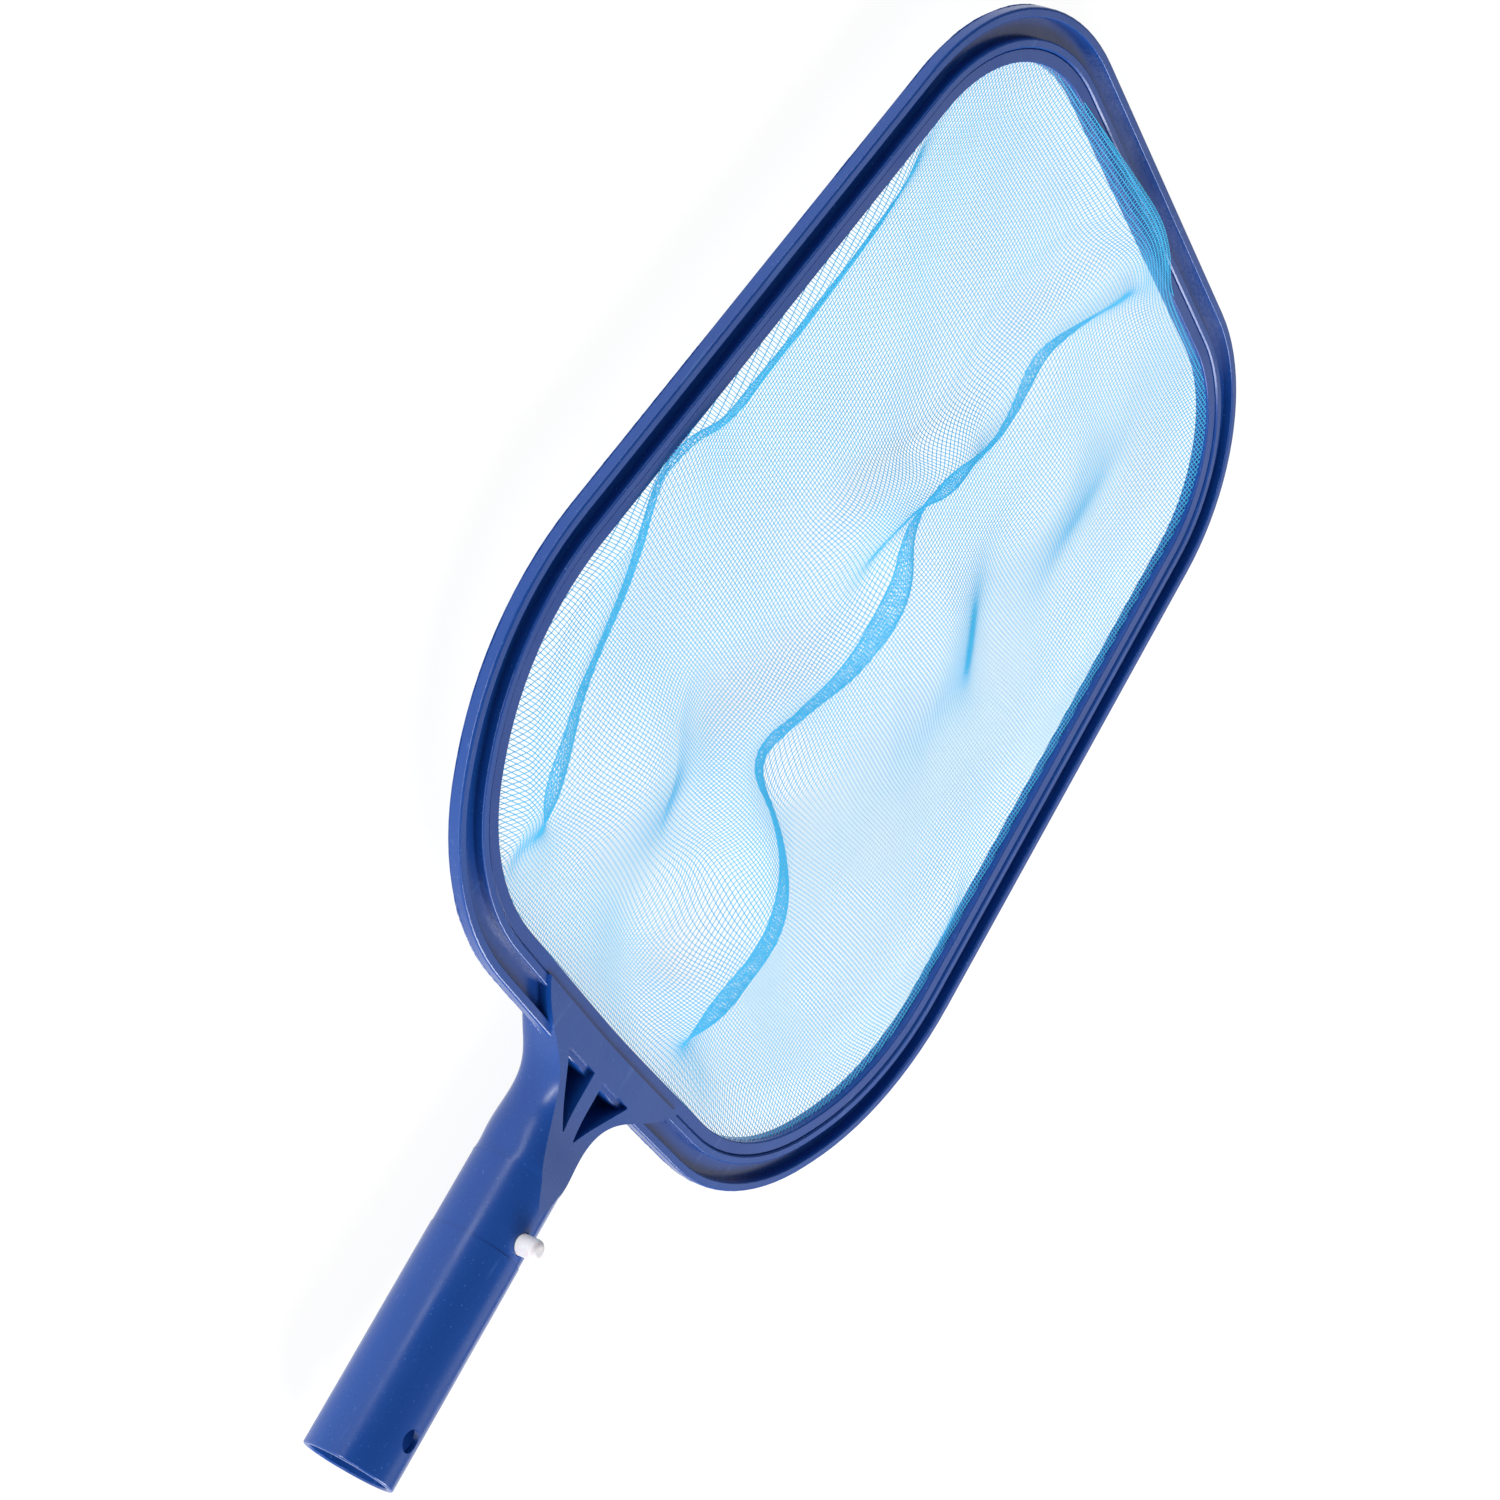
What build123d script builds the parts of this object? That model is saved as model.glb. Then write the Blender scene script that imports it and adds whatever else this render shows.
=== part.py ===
from build123d import *

import os

# Leaf skimmer head for a pool pole, in millimetres.
# Origin: centre of the handle tube's open mouth. +Y runs from the handle to the far edge of
# the hoop, +X is across, and the hoop lies level with its open front face up (+Z).
# The handle tube is tipped up a little from the hoop, so it has a frame of its own:
# X across, Y along the tube from its mouth, Z out of the tube's front side.

# ---- hoop outline: corners of a six-sided loop with a slightly bowed near edge ----
NEAR_MID_Y = 129.2
NEAR_HALF, NEAR_Y, NEAR_RADIUS = 103.2, 131.5, 82.0
WAIST_HALF, WAIST_Y, WAIST_RADIUS = 153.7, 197.2, 100.0
TIP_HALF, TIP_Y, TIP_RADIUS = 125.0, 467.4, 68.5
NEAR_BOW_RADIUS = 900.0

# ---- hoop section, measured inwards from the outline and down from the front face ----
HOOP_TOP = -2.4
HOOP_DEPTH = 5.0
OUTER_WALL = 3.0
GROOVE_WIDTH = 6.2
GROOVE_DEPTH = 3.4
CHANNEL_WIDTH = 12.0
HOOP_WIDTH = 16.3
LEDGE_TOP = 3.1
LEDGE_BOTTOM = 5.8
OUTER_BOTTOM_RADIUS = 1.6
OUTER_TOP_RADIUS = 0.8
GROOVE_EDGE_RADIUS = 0.5

# ---- ring that clamps the net on the hoop's ledge ----
RING_DROP = 0.6
RING_EDGE = 0.5
SEAM_CHAMFER = 0.45

# ---- net ----
NET_THICKNESS = 0.35
NET_SAG = 12.0
NET_SLOPE_WIDTH = 40.0
NET_WALL = 0.4
NET_EDGE_GAP = 0.3
NET_LIP = 0.9

# ---- handle tube ----
HANDLE_TILT = 4.08
TUBE_RADIUS = 14.5
SPIGOT_LENGTH = 72.0
SHANK_RADIUS = 14.3
BORE_RADIUS = 12.6
INNER_BORE_RADIUS = 12.3
BORE_STEP = 70.0
TAPER_START = 90.0
TAPER_END = 102.0
THROAT_RADIUS = 6.0
BORE_LENGTH = 107.2
MOUTH_FILLET = 0.6
MOUTH_CHAMFER = 0.5
HOLE_RADIUS = 3.6
END_HOLE_AT = 14.2
BUTTON_AT = 77.7

# ---- neck: sections across the handle as (place, half width, bottom, top, corner radius) ----
NECK_TOP = TUBE_RADIUS
NECK_SECTIONS = (
    (96.0, 14.30, -14.3, 14.3, 14.1),
    (106.0, 14.40, -14.2, 14.3, 14.0),
    (115.0, 14.90, -12.6, NECK_TOP, 12.6),
    (122.0, 17.60, -9.6, NECK_TOP, 9.0),
    (128.0, 25.00, -7.0, NECK_TOP, 6.5),
    (133.0, 34.50, -4.8, NECK_TOP, 5.2),
    (138.0, 42.00, -2.6, NECK_TOP, 4.6),
    (144.0, 47.50, -0.4, NECK_TOP, 4.4),
)
WEB_HEIGHT = 8.8
RAMP_START = 84.0
RAMP_END = 121.0
RAMP_EASE = 14.0
RAMP_LIFT = 0.05
RAMP_DIP = 0.4
RAMP_ROOM = 10.0

# ---- two triangular pockets in the neck, with a rib between them ----
POCKET_TIP_X, POCKET_TIP_Y = 3.3, 111.0
POCKET_BACK_Y = 131.6
POCKET_BACK_X = 21.2
POCKET_RIB_X = 3.2
POCKET_FLOOR = 0.4
POCKET_RADIUS = 0.4

# ---- V-shaped snap clip inside the tube: one arm carries the button, the other rests on the wall ----
CLIP_HALF_WIDTH = 4.0
CLIP_THICKNESS = 1.6
CLIP_BEND_AT = 102.0
CLIP_BEND_RADIUS = 4.0
PAD_TOP = 10.7
PAD_START = 72.0
PAD_END = 83.4
PAD_GAP = 0.3
REST_TOP = 11.1
BUTTON_RADIUS = 3.3
BUTTON_PROUD = 6.2
BUTTON_DOME = 2.0

# ---- helpers for cutting and for picking edges ----
TALL = 60.0
OVERLAP = 1.0
LEVEL_TOLERANCE = 1e-4
LOOP_TOLERANCE = 0.1

HANDLE = Location((0, 0, 0), (-HANDLE_TILT, 0, 0))


def outline_face():
    """Filled outline of the hoop, in the XY plane."""
    corners = [
        ((0, NEAR_MID_Y), NEAR_BOW_RADIUS),
        ((NEAR_HALF, NEAR_Y), NEAR_RADIUS),
        ((WAIST_HALF, WAIST_Y), WAIST_RADIUS),
        ((TIP_HALF, TIP_Y), TIP_RADIUS),
        ((-TIP_HALF, TIP_Y), TIP_RADIUS),
        ((-WAIST_HALF, WAIST_Y), WAIST_RADIUS),
        ((-NEAR_HALF, NEAR_Y), NEAR_RADIUS),
    ]
    points = [point for point, radius in corners]
    radii = [radius for point, radius in corners]
    return make_face(FilletPolyline(*points, radius=radii, close=True))


OUTLINE = outline_face()


def inset(distance):
    """The outline moved inwards by a distance."""
    if distance == 0:
        return OUTLINE
    return offset(OUTLINE, amount=-distance)


def band(outer, inner, top, bottom):
    """A ring between two insets, with its top and bottom heights."""
    plate = inset(outer) - inset(inner)
    return Pos(0, 0, bottom) * extrude(plate, amount=top - bottom)


def filled(inset_by, top, bottom):
    """A plate that fills an inset outline, with its top and bottom heights."""
    return Pos(0, 0, bottom) * extrude(inset(inset_by), amount=top - bottom)


def edges_at(shape, height, nearest, furthest=None):
    """Level edges at one height that lie at one inset from the outline, or between two insets."""
    furthest = nearest if furthest is None else furthest
    found = []
    for edge in shape.edges():
        box = edge.bounding_box()
        off_level = max(abs(box.min.Z - height), abs(box.max.Z - height))
        gap = OUTLINE.face().outer_wire().distance_to(Pos(0, 0, -height) * edge)
        if off_level < LEVEL_TOLERANCE and nearest - LOOP_TOLERANCE <= gap <= furthest + LOOP_TOLERANCE:
            found.append(edge)
    return found


def hoop_channel():
    """U-shaped channel of the hoop, with a ledge on its inner side for the net."""
    top = HOOP_TOP
    channel = band(0, CHANNEL_WIDTH, top, top - HOOP_DEPTH)
    channel = fillet(edges_at(channel, top - HOOP_DEPTH, 0), OUTER_BOTTOM_RADIUS)
    channel = fillet(edges_at(channel, top, 0), OUTER_TOP_RADIUS)
    groove_inner = OUTER_WALL + GROOVE_WIDTH
    channel -= band(OUTER_WALL, groove_inner, top + OVERLAP, top - GROOVE_DEPTH)
    channel = fillet(edges_at(channel, top, OUTER_WALL, groove_inner), GROOVE_EDGE_RADIUS)
    channel = chamfer(edges_at(channel, top, CHANNEL_WIDTH), SEAM_CHAMFER)
    ledge = band(CHANNEL_WIDTH - OVERLAP, HOOP_WIDTH, top - LEDGE_TOP, top - LEDGE_BOTTOM)
    ledge = fillet(edges_at(ledge, top - LEDGE_BOTTOM, HOOP_WIDTH), SEAM_CHAMFER)
    return channel + ledge


def retaining_ring():
    """Flat ring pressed down on the net's edge."""
    top = HOOP_TOP - RING_DROP
    bottom = HOOP_TOP - LEDGE_TOP + NET_THICKNESS
    ring = band(CHANNEL_WIDTH, HOOP_WIDTH, top, bottom)
    ring = fillet(edges_at(ring, top, HOOP_WIDTH), RING_EDGE)
    return chamfer(edges_at(ring, top, CHANNEL_WIDTH), SEAM_CHAMFER)


def net_pan(lift):
    """Solid that fills the sagging net from its edge to its floor, raised by lift."""
    edge_height = HOOP_TOP - LEDGE_TOP + NET_THICKNESS + lift
    edge = Pos(0, 0, edge_height) * inset(HOOP_WIDTH - NET_EDGE_GAP)
    floor = Pos(0, 0, edge_height - NET_SAG) * inset(HOOP_WIDTH + NET_SLOPE_WIDTH)
    return loft([floor, edge], ruled=True)


def net():
    """Net as a shallow pan with a flat edge that the ring clamps."""
    bottom = HOOP_TOP - LEDGE_TOP
    flange = band(CHANNEL_WIDTH + NET_EDGE_GAP, HOOP_WIDTH + NET_LIP, bottom + NET_THICKNESS, bottom)
    return flange + (net_pan(0) - net_pan(NET_WALL))


def neck_section(place, half_width, bottom, top, corner):
    """One rounded section across the handle."""
    plane = Plane(origin=(0, place, (top + bottom) / 2), x_dir=(1, 0, 0), z_dir=(0, -1, 0))
    return plane * RectangleRounded(2 * half_width, top - bottom, corner)


def ramp_cutter():
    """Block above the handle: it leaves the tube round and runs down to the flat web."""
    far_end = NECK_SECTIONS[-1][0] + RAMP_ROOM
    high = NECK_TOP + RAMP_ROOM
    start_height = NECK_TOP + RAMP_LIFT
    slope = Bezier(
        (0, RAMP_START, start_height),
        (0, RAMP_START + RAMP_EASE, NECK_TOP - RAMP_DIP),
        (0, RAMP_END - RAMP_EASE, WEB_HEIGHT),
        (0, RAMP_END, WEB_HEIGHT),
    )
    rest = Polyline(
        (0, RAMP_END, WEB_HEIGHT),
        (0, far_end, WEB_HEIGHT),
        (0, far_end, high),
        (0, RAMP_START, high),
        (0, RAMP_START, start_height),
    )
    side = make_face(slope + rest)
    return extrude(side, amount=TALL, dir=(1, 0, 0), both=True)


def pocket(side):
    """One triangular pocket of the neck."""
    tip = (side * POCKET_TIP_X, POCKET_TIP_Y)
    rib_corner = (side * POCKET_RIB_X, POCKET_BACK_Y)
    back_corner = (side * POCKET_BACK_X, POCKET_BACK_Y)
    triangle = make_face(FilletPolyline(tip, rib_corner, back_corner, radius=POCKET_RADIUS, close=True))
    return Pos(0, 0, POCKET_FLOOR) * extrude(triangle, amount=TALL)


def across_hole(place, radius):
    """Round cutter straight through both walls of the tube."""
    return Pos(0, place, 0) * Cylinder(radius, 2 * TALL)


def front_hole(place, radius):
    """Round cutter through the tube's front wall only."""
    return Pos(0, place, TALL / 2) * Cylinder(radius, TALL)


def along(radius, start, end):
    """Round bar along the handle between two places."""
    return Pos(0, (start + end) / 2, 0) * Rot(90, 0, 0) * Cylinder(radius, end - start)


def inner_bore():
    """Back of the bore: it tapers to a throat round the clip's bend."""
    middle = (TAPER_START + TAPER_END) / 2
    taper = Cone(THROAT_RADIUS, INNER_BORE_RADIUS, TAPER_END - TAPER_START)
    wide = along(INNER_BORE_RADIUS, BORE_STEP - OVERLAP, TAPER_START)
    return wide + Pos(0, middle, 0) * Rot(90, 0, 0) * taper + along(THROAT_RADIUS, TAPER_END, BORE_LENGTH)


def tube():
    """Round tube with its bore, end holes and button hole, in the handle's own frame."""
    spigot = along(TUBE_RADIUS, 0, SPIGOT_LENGTH)
    spigot = fillet(spigot.faces().sort_by(Axis.Y)[0].edges(), MOUTH_FILLET)
    body = spigot + along(SHANK_RADIUS, SPIGOT_LENGTH, NECK_SECTIONS[0][0])
    body -= ramp_cutter()
    body -= along(BORE_RADIUS, -OVERLAP, BORE_STEP) + inner_bore()
    body -= across_hole(END_HOLE_AT, HOLE_RADIUS) + front_hole(BUTTON_AT, HOLE_RADIUS)
    mouth_edges = body.edges().filter_by(GeomType.CIRCLE).sort_by(Axis.Y)[:2]
    return chamfer(mouth_edges.sort_by(SortBy.RADIUS)[0], MOUTH_CHAMFER)


def neck():
    """Flared neck with its flat web and two pockets, in the handle's own frame."""
    body = loft([neck_section(*section) for section in NECK_SECTIONS])
    body -= ramp_cutter()
    body -= inner_bore()
    return body - pocket(1) - pocket(-1)


def clip_prism(points):
    """Flat strip of the clip from its side view, given as places along and heights."""
    side = make_face(Polyline(*[(0, place, height) for place, height in points], close=True))
    return extrude(side, amount=CLIP_HALF_WIDTH, dir=(1, 0, 0), both=True)


def clip_bend():
    """Round bend that joins the clip's two arms."""
    outer = CLIP_BEND_RADIUS
    inner = outer - CLIP_THICKNESS
    bar = Rot(0, 90, 0) * (Cylinder(outer, 2 * CLIP_HALF_WIDTH) - Cylinder(inner, TALL))
    half = Pos(0, outer, 0) * Box(TALL, 2 * outer, TALL)
    return Pos(0, CLIP_BEND_AT, 0) * (bar & half)


def clip_arm(side, end, end_height):
    """Straight arm from the bend to a place along the handle, with its outer face at a height."""
    root_out = side * CLIP_BEND_RADIUS
    root_in = side * (CLIP_BEND_RADIUS - CLIP_THICKNESS)
    end_out = side * end_height
    end_in = side * (end_height - CLIP_THICKNESS)
    return clip_prism(((CLIP_BEND_AT, root_out), (CLIP_BEND_AT, root_in), (end, end_in), (end, end_out)))


def snap_button():
    """Domed button with the end pad of its arm."""
    proud = TUBE_RADIUS + BUTTON_PROUD
    root = PAD_TOP - OVERLAP
    pin = Pos(0, 0, (proud + root) / 2) * Cylinder(BUTTON_RADIUS, proud - root)
    pin = fillet(pin.faces().sort_by(Axis.Z)[-1].edges(), BUTTON_DOME)
    middle = (PAD_START + PAD_END) / 2 - BUTTON_AT
    pad = Pos(0, middle, PAD_TOP - CLIP_THICKNESS / 2) * Box(
        2 * CLIP_HALF_WIDTH, PAD_END - PAD_START, CLIP_THICKNESS)
    return Pos(0, BUTTON_AT, 0) * (pin + pad)


def hoop_and_neck():
    """The hoop and the neck, which are one moulding cut apart along the hoop's outline."""
    placed = HANDLE * neck()
    within = filled(0, TALL, -TALL) - filled(CHANNEL_WIDTH, TALL, -TALL)
    hoop = hoop_channel() + (placed & within)
    return hoop, placed - filled(0, TALL, -TALL)


def main():
    os.makedirs("parts", exist_ok=True)
    hoop_frame, handle_neck = hoop_and_neck()
    nodes = {
        "hoop_frame": hoop_frame,
        "handle_neck": handle_neck,
        "pole_tube": HANDLE * tube(),
        "net_retaining_ring": retaining_ring(),
        "net_mesh": net(),
        "clip_bend": HANDLE * clip_bend(),
        "clip_button_arm": HANDLE * clip_arm(1, PAD_END + PAD_GAP, PAD_TOP),
        "clip_rest_arm": HANDLE * clip_arm(-1, PAD_START, REST_TOP),
        "snap_button": HANDLE * snap_button(),
    }
    for name, shape in nodes.items():
        export_step(shape, f"parts/{name}.step")


main()
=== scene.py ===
"""Looks of a leaf skimmer net: moulded blue hoop and handle, clamped slack net, white snap clip."""

import logging
import math
from dataclasses import dataclass
from enum import Enum

import bpy
import numpy as np
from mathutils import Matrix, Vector

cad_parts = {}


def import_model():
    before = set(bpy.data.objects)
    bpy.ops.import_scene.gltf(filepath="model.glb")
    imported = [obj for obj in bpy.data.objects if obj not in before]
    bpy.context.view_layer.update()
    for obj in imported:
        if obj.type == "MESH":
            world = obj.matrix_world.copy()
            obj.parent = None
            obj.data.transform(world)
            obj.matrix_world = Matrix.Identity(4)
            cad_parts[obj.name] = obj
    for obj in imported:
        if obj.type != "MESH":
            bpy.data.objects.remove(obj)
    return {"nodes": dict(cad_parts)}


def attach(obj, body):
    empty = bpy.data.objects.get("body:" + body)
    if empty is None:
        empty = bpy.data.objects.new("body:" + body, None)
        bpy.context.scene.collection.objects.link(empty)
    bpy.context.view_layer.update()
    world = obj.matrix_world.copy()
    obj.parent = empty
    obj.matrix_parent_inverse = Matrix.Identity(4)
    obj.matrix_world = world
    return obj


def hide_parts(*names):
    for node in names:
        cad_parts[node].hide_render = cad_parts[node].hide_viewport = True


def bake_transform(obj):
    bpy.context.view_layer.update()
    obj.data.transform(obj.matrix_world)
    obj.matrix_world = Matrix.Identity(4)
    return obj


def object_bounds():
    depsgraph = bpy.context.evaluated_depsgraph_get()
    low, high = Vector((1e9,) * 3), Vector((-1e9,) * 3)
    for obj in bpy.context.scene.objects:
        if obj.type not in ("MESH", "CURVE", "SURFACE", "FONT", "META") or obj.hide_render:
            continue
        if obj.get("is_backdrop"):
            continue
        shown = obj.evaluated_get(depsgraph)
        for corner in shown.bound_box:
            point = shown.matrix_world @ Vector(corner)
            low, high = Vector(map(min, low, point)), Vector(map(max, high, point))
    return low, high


LOG = logging.getLogger("leaf_skimmer")
MM = 0.001

# A Mix node has sockets for each kind of value. These are the numbers of its colour ones.
MIX_COLOURS_IN = (6, 7)
MIX_COLOUR_OUT = 2
# Most values of a noise lie in this span.
NOISE_SPAN = (0.3, 0.7)

Colour = tuple[float, float, float, float]
Triple = tuple[float, float, float]
Pair = tuple[float, float]
Socket = bpy.types.NodeSocket


class Surface(Enum):
    """How a moulding was finished, as the least and greatest roughness of its uneven gloss."""

    POLISHED = (0.2, 0.34)
    SATIN = (0.36, 0.52)


class Graph:
    """Adds shader nodes to one material and joins them."""

    def __init__(self, name: str) -> None:
        """Starts a material that holds one Principled shader and its output.

        Args:
            name: Name of the material.
        """
        self.material = bpy.data.materials.new(name)
        self.material.use_nodes = True
        self.tree = self.material.node_tree
        self.shader = self.tree.nodes["Principled BSDF"]
        self.coords = self.add("ShaderNodeTexCoord").outputs["Object"]

    def feed(self, socket: Socket, value: object) -> None:
        """Joins a socket to another, or gives it a plain value.

        Args:
            socket: The input to fill.
            value: The output to join it to, or its number, colour or vector.
        """
        if isinstance(value, Socket):
            self.tree.links.new(value, socket)
        else:
            socket.default_value = value

    def fill(self, node: bpy.types.Node, inputs: dict[str, object]) -> None:
        """Fills several sockets of a node.

        Args:
            node: The node.
            inputs: Values or sockets by the input's name, with _ for a space.
        """
        for name, value in inputs.items():
            self.feed(node.inputs[name.replace("_", " ")], value)

    def add(self, kind: str, **inputs: object) -> bpy.types.Node:
        """Adds a node and fills its sockets.

        Args:
            kind: Name of the node type.
            **inputs: Values or sockets by the input's name, with _ for a space.

        Returns:
            The new node.
        """
        node = self.tree.nodes.new(kind)
        self.fill(node, inputs)
        return node

    def finish(self, **inputs: object) -> bpy.types.Material:
        """Fills the shader's sockets.

        Args:
            **inputs: Values or sockets by the input's name, with _ for a space.

        Returns:
            The finished material.
        """
        self.fill(self.shader, inputs)
        return self.material

    def stretched(self, scale: Triple) -> Socket:
        """Object coordinates with each axis scaled, for a pattern that runs along one axis.

        Args:
            scale: What each axis is multiplied by.

        Returns:
            The scaled coordinates.
        """
        return self.add("ShaderNodeMapping", Vector=self.coords, Scale=scale).outputs["Vector"]

    def noise(self, scale: float, detail: float, vector: Socket | None = None) -> Socket:
        """Noise between 0 and 1.

        Args:
            scale: Number of features in a metre.
            detail: Number of finer layers.
            vector: Coordinates that it reads, which are the object's own where none are given.

        Returns:
            The noise's value.
        """
        source = self.coords if vector is None else vector
        return self.add("ShaderNodeTexNoise", Vector=source, Scale=scale, Detail=detail).outputs["Fac"]

    def between(self, value: Socket, low: float, high: float,
                start: float = 0.0, end: float = 1.0) -> Socket:
        """Spreads a value's span over another one and holds it at the ends.

        Args:
            value: The value.
            low: Where its span starts.
            high: Where its span ends.
            start: What the low end becomes.
            end: What the high end becomes.

        Returns:
            The new value.
        """
        return self.add("ShaderNodeMapRange", Value=value, From_Min=low, From_Max=high,
                        To_Min=start, To_Max=end).outputs["Result"]

    def blend(self, share: Socket, first: object, second: object) -> Socket:
        """Mixes two colours.

        Args:
            share: Share of the second colour.
            first: The first colour, or the socket that gives it.
            second: The second colour, or the socket that gives it.

        Returns:
            The mixed colour.
        """
        node = self.tree.nodes.new("ShaderNodeMix")
        node.data_type = "RGBA"
        self.feed(node.inputs["Factor"], share)
        for number, colour in zip(MIX_COLOURS_IN, (first, second)):
            self.feed(node.inputs[number], colour)
        return node.outputs[MIX_COLOUR_OUT]

    def bump(self, height: Socket, strength: float, depth: float, under: Socket | None = None) -> Socket:
        """A bumped normal.

        Args:
            height: Height of the bumps, from 0 to 1.
            strength: Share of the bumps' full effect.
            depth: Height that 1 stands for, in metres.
            under: Another bumped normal that this one is laid over.

        Returns:
            The normal.
        """
        node = self.add("ShaderNodeBump", Height=height, Strength=strength, Distance=depth)
        if under is not None:
            self.feed(node.inputs["Normal"], under)
        return node.outputs["Normal"]


def linear(red: int, green: int, blue: int) -> Colour:
    """Turns a display colour into the linear one that a shader reads, by the sRGB curve.

    Args:
        red: Red, from 0 to 255.
        green: Green, from 0 to 255.
        blue: Blue, from 0 to 255.

    Returns:
        The linear colour, from 0 to 1, with full opacity.
    """
    shares = [value / 255 for value in (red, green, blue)]
    straight = [c / 12.92 if c <= 0.04045 else ((c + 0.055) / 1.055) ** 2.4 for c in shares]
    return (*straight, 1.0)


@dataclass(frozen=True)
class MouldedPlastic:
    """Injection-moulded plastic with flow marks, fine pits, faint scuffs and uneven gloss.

    Scales are numbers of features in a metre, and stretches multiply them along each axis. A span
    is the part of the noise over which a mark comes in, a shade is the most of the scuff colour
    that a mark gets, and a relief is a strength from 0 to 1 with a depth.
    """

    name: str
    colour: Colour
    flow_colour: Colour
    scuff_colour: Colour
    surface: Surface = Surface.POLISHED
    scatter: float = 0.0
    scatter_reach: float = 1.0 * MM
    refraction: float = 1.49
    flow_scale: float = 9.0
    flow_stretch: Triple = (3.0, 1.0, 3.0)
    flow_span: Pair = (0.35, 0.7)
    scratch_scale: float = 260.0
    scratch_stretch: Triple = (1.0, 0.12, 1.0)
    scratch_span: Pair = (0.66, 0.8)
    scratch_shade: float = 0.25
    scratch_relief: Pair = (0.05, 0.06 * MM)
    speck_scale: float = 1300.0
    speck_span: Pair = (0.70, 0.78)
    speck_shade: float = 0.45
    gloss_scale: float = 45.0
    sink_scale: float = 38.0
    sink_relief: Pair = (0.12, 0.4 * MM)
    pit_scale: float = 1700.0
    pit_relief: Pair = (0.12, 0.08 * MM)

    def build(self) -> bpy.types.Material:
        """Makes the material.

        Returns:
            The finished material.
        """
        graph = Graph(self.name)
        flow = graph.noise(self.flow_scale, 3.0, graph.stretched(self.flow_stretch))
        coloured = graph.blend(graph.between(flow, *self.flow_span), self.colour, self.flow_colour)
        scratches = graph.noise(self.scratch_scale, 2.0, graph.stretched(self.scratch_stretch))
        specks = graph.between(graph.noise(self.speck_scale, 1.0), *self.speck_span, 0.0, self.speck_shade)
        scuffs = graph.between(scratches, *self.scratch_span, 0.0, self.scratch_shade)
        scuffed = graph.blend(scuffs, coloured, self.scuff_colour)
        speckled = graph.blend(specks, scuffed, self.scuff_colour)
        gloss = graph.between(graph.noise(self.gloss_scale, 4.0), *NOISE_SPAN, *self.surface.value)
        sink = graph.bump(graph.noise(self.sink_scale, 1.0), *self.sink_relief)
        pits = graph.bump(graph.noise(self.pit_scale, 2.0), *self.pit_relief, sink)
        relief = graph.bump(scratches, *self.scratch_relief, pits)
        return graph.finish(Base_Color=speckled, Roughness=gloss, Normal=relief, IOR=self.refraction,
                            Subsurface_Weight=self.scatter, Subsurface_Scale=self.scatter_reach)


@dataclass(frozen=True)
class WovenThread:
    """Fine plastic thread of the net, with slight changes of shade and a fine grain.

    Its glow stands in for light that comes through the clear thread. Scales are numbers of features
    in a metre, and the relief is a strength from 0 to 1 with a depth.
    """

    name: str
    colour: Colour
    pale: Colour
    glow: float = 0.3
    shine: float = 0.25
    roughness: Pair = (0.5, 0.65)
    patch_scale: float = 22.0
    patch_span: Pair = (0.35, 0.65)
    grain_scale: float = 6000.0
    grain_relief: Pair = (0.3, 0.04 * MM)

    def build(self) -> bpy.types.Material:
        """Makes the material.

        Returns:
            The finished material.
        """
        graph = Graph(self.name)
        patches = graph.between(graph.noise(self.patch_scale, 3.0), *self.patch_span)
        shade = graph.blend(patches, self.colour, self.pale)
        grain = graph.noise(self.grain_scale, 2.0)
        return graph.finish(Base_Color=shade, Roughness=graph.between(grain, *NOISE_SPAN, *self.roughness),
                            Normal=graph.bump(grain, *self.grain_relief), Specular_IOR_Level=self.shine,
                            Emission_Color=self.colour, Emission_Strength=self.glow)


@dataclass(frozen=True)
class PaleFloor:
    """Plain pale floor that glows evenly, with a hardly visible grain."""

    name: str = "floor_white"
    colour: Colour = linear(88, 88, 89)
    pale: Colour = linear(92, 92, 92)
    glow_colour: Colour = (1.0, 1.0, 1.0, 1.0)
    glow: float = 0.93
    roughness: float = 0.9
    grain_scale: float = 30.0

    def build(self) -> bpy.types.Material:
        """Makes the material.

        Returns:
            The finished material.
        """
        graph = Graph(self.name)
        grain = graph.between(graph.noise(self.grain_scale, 3.0), *NOISE_SPAN)
        shade = graph.blend(grain, self.colour, self.pale)
        return graph.finish(Base_Color=shade, Roughness=self.roughness,
                            Emission_Color=self.glow_colour, Emission_Strength=self.glow)


def smoothstep(share: np.ndarray) -> np.ndarray:
    """Rises smoothly from 0 to 1 as the share does: three times its square less twice its cube.

    Args:
        share: Any numbers. Below 0 they count as 0 and above 1 as 1.

    Returns:
        The smoothed shares.
    """
    held = np.clip(share, 0.0, 1.0)
    return held * held * (3.0 - 2.0 * held)


def unit(vectors: np.ndarray) -> np.ndarray:
    """Brings vectors to length 1.

    Args:
        vectors: Vectors along the last axis.

    Returns:
        The vectors, each divided by its length.
    """
    return vectors / np.maximum(np.linalg.norm(vectors, axis=-1, keepdims=True), 1e-12)


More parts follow.
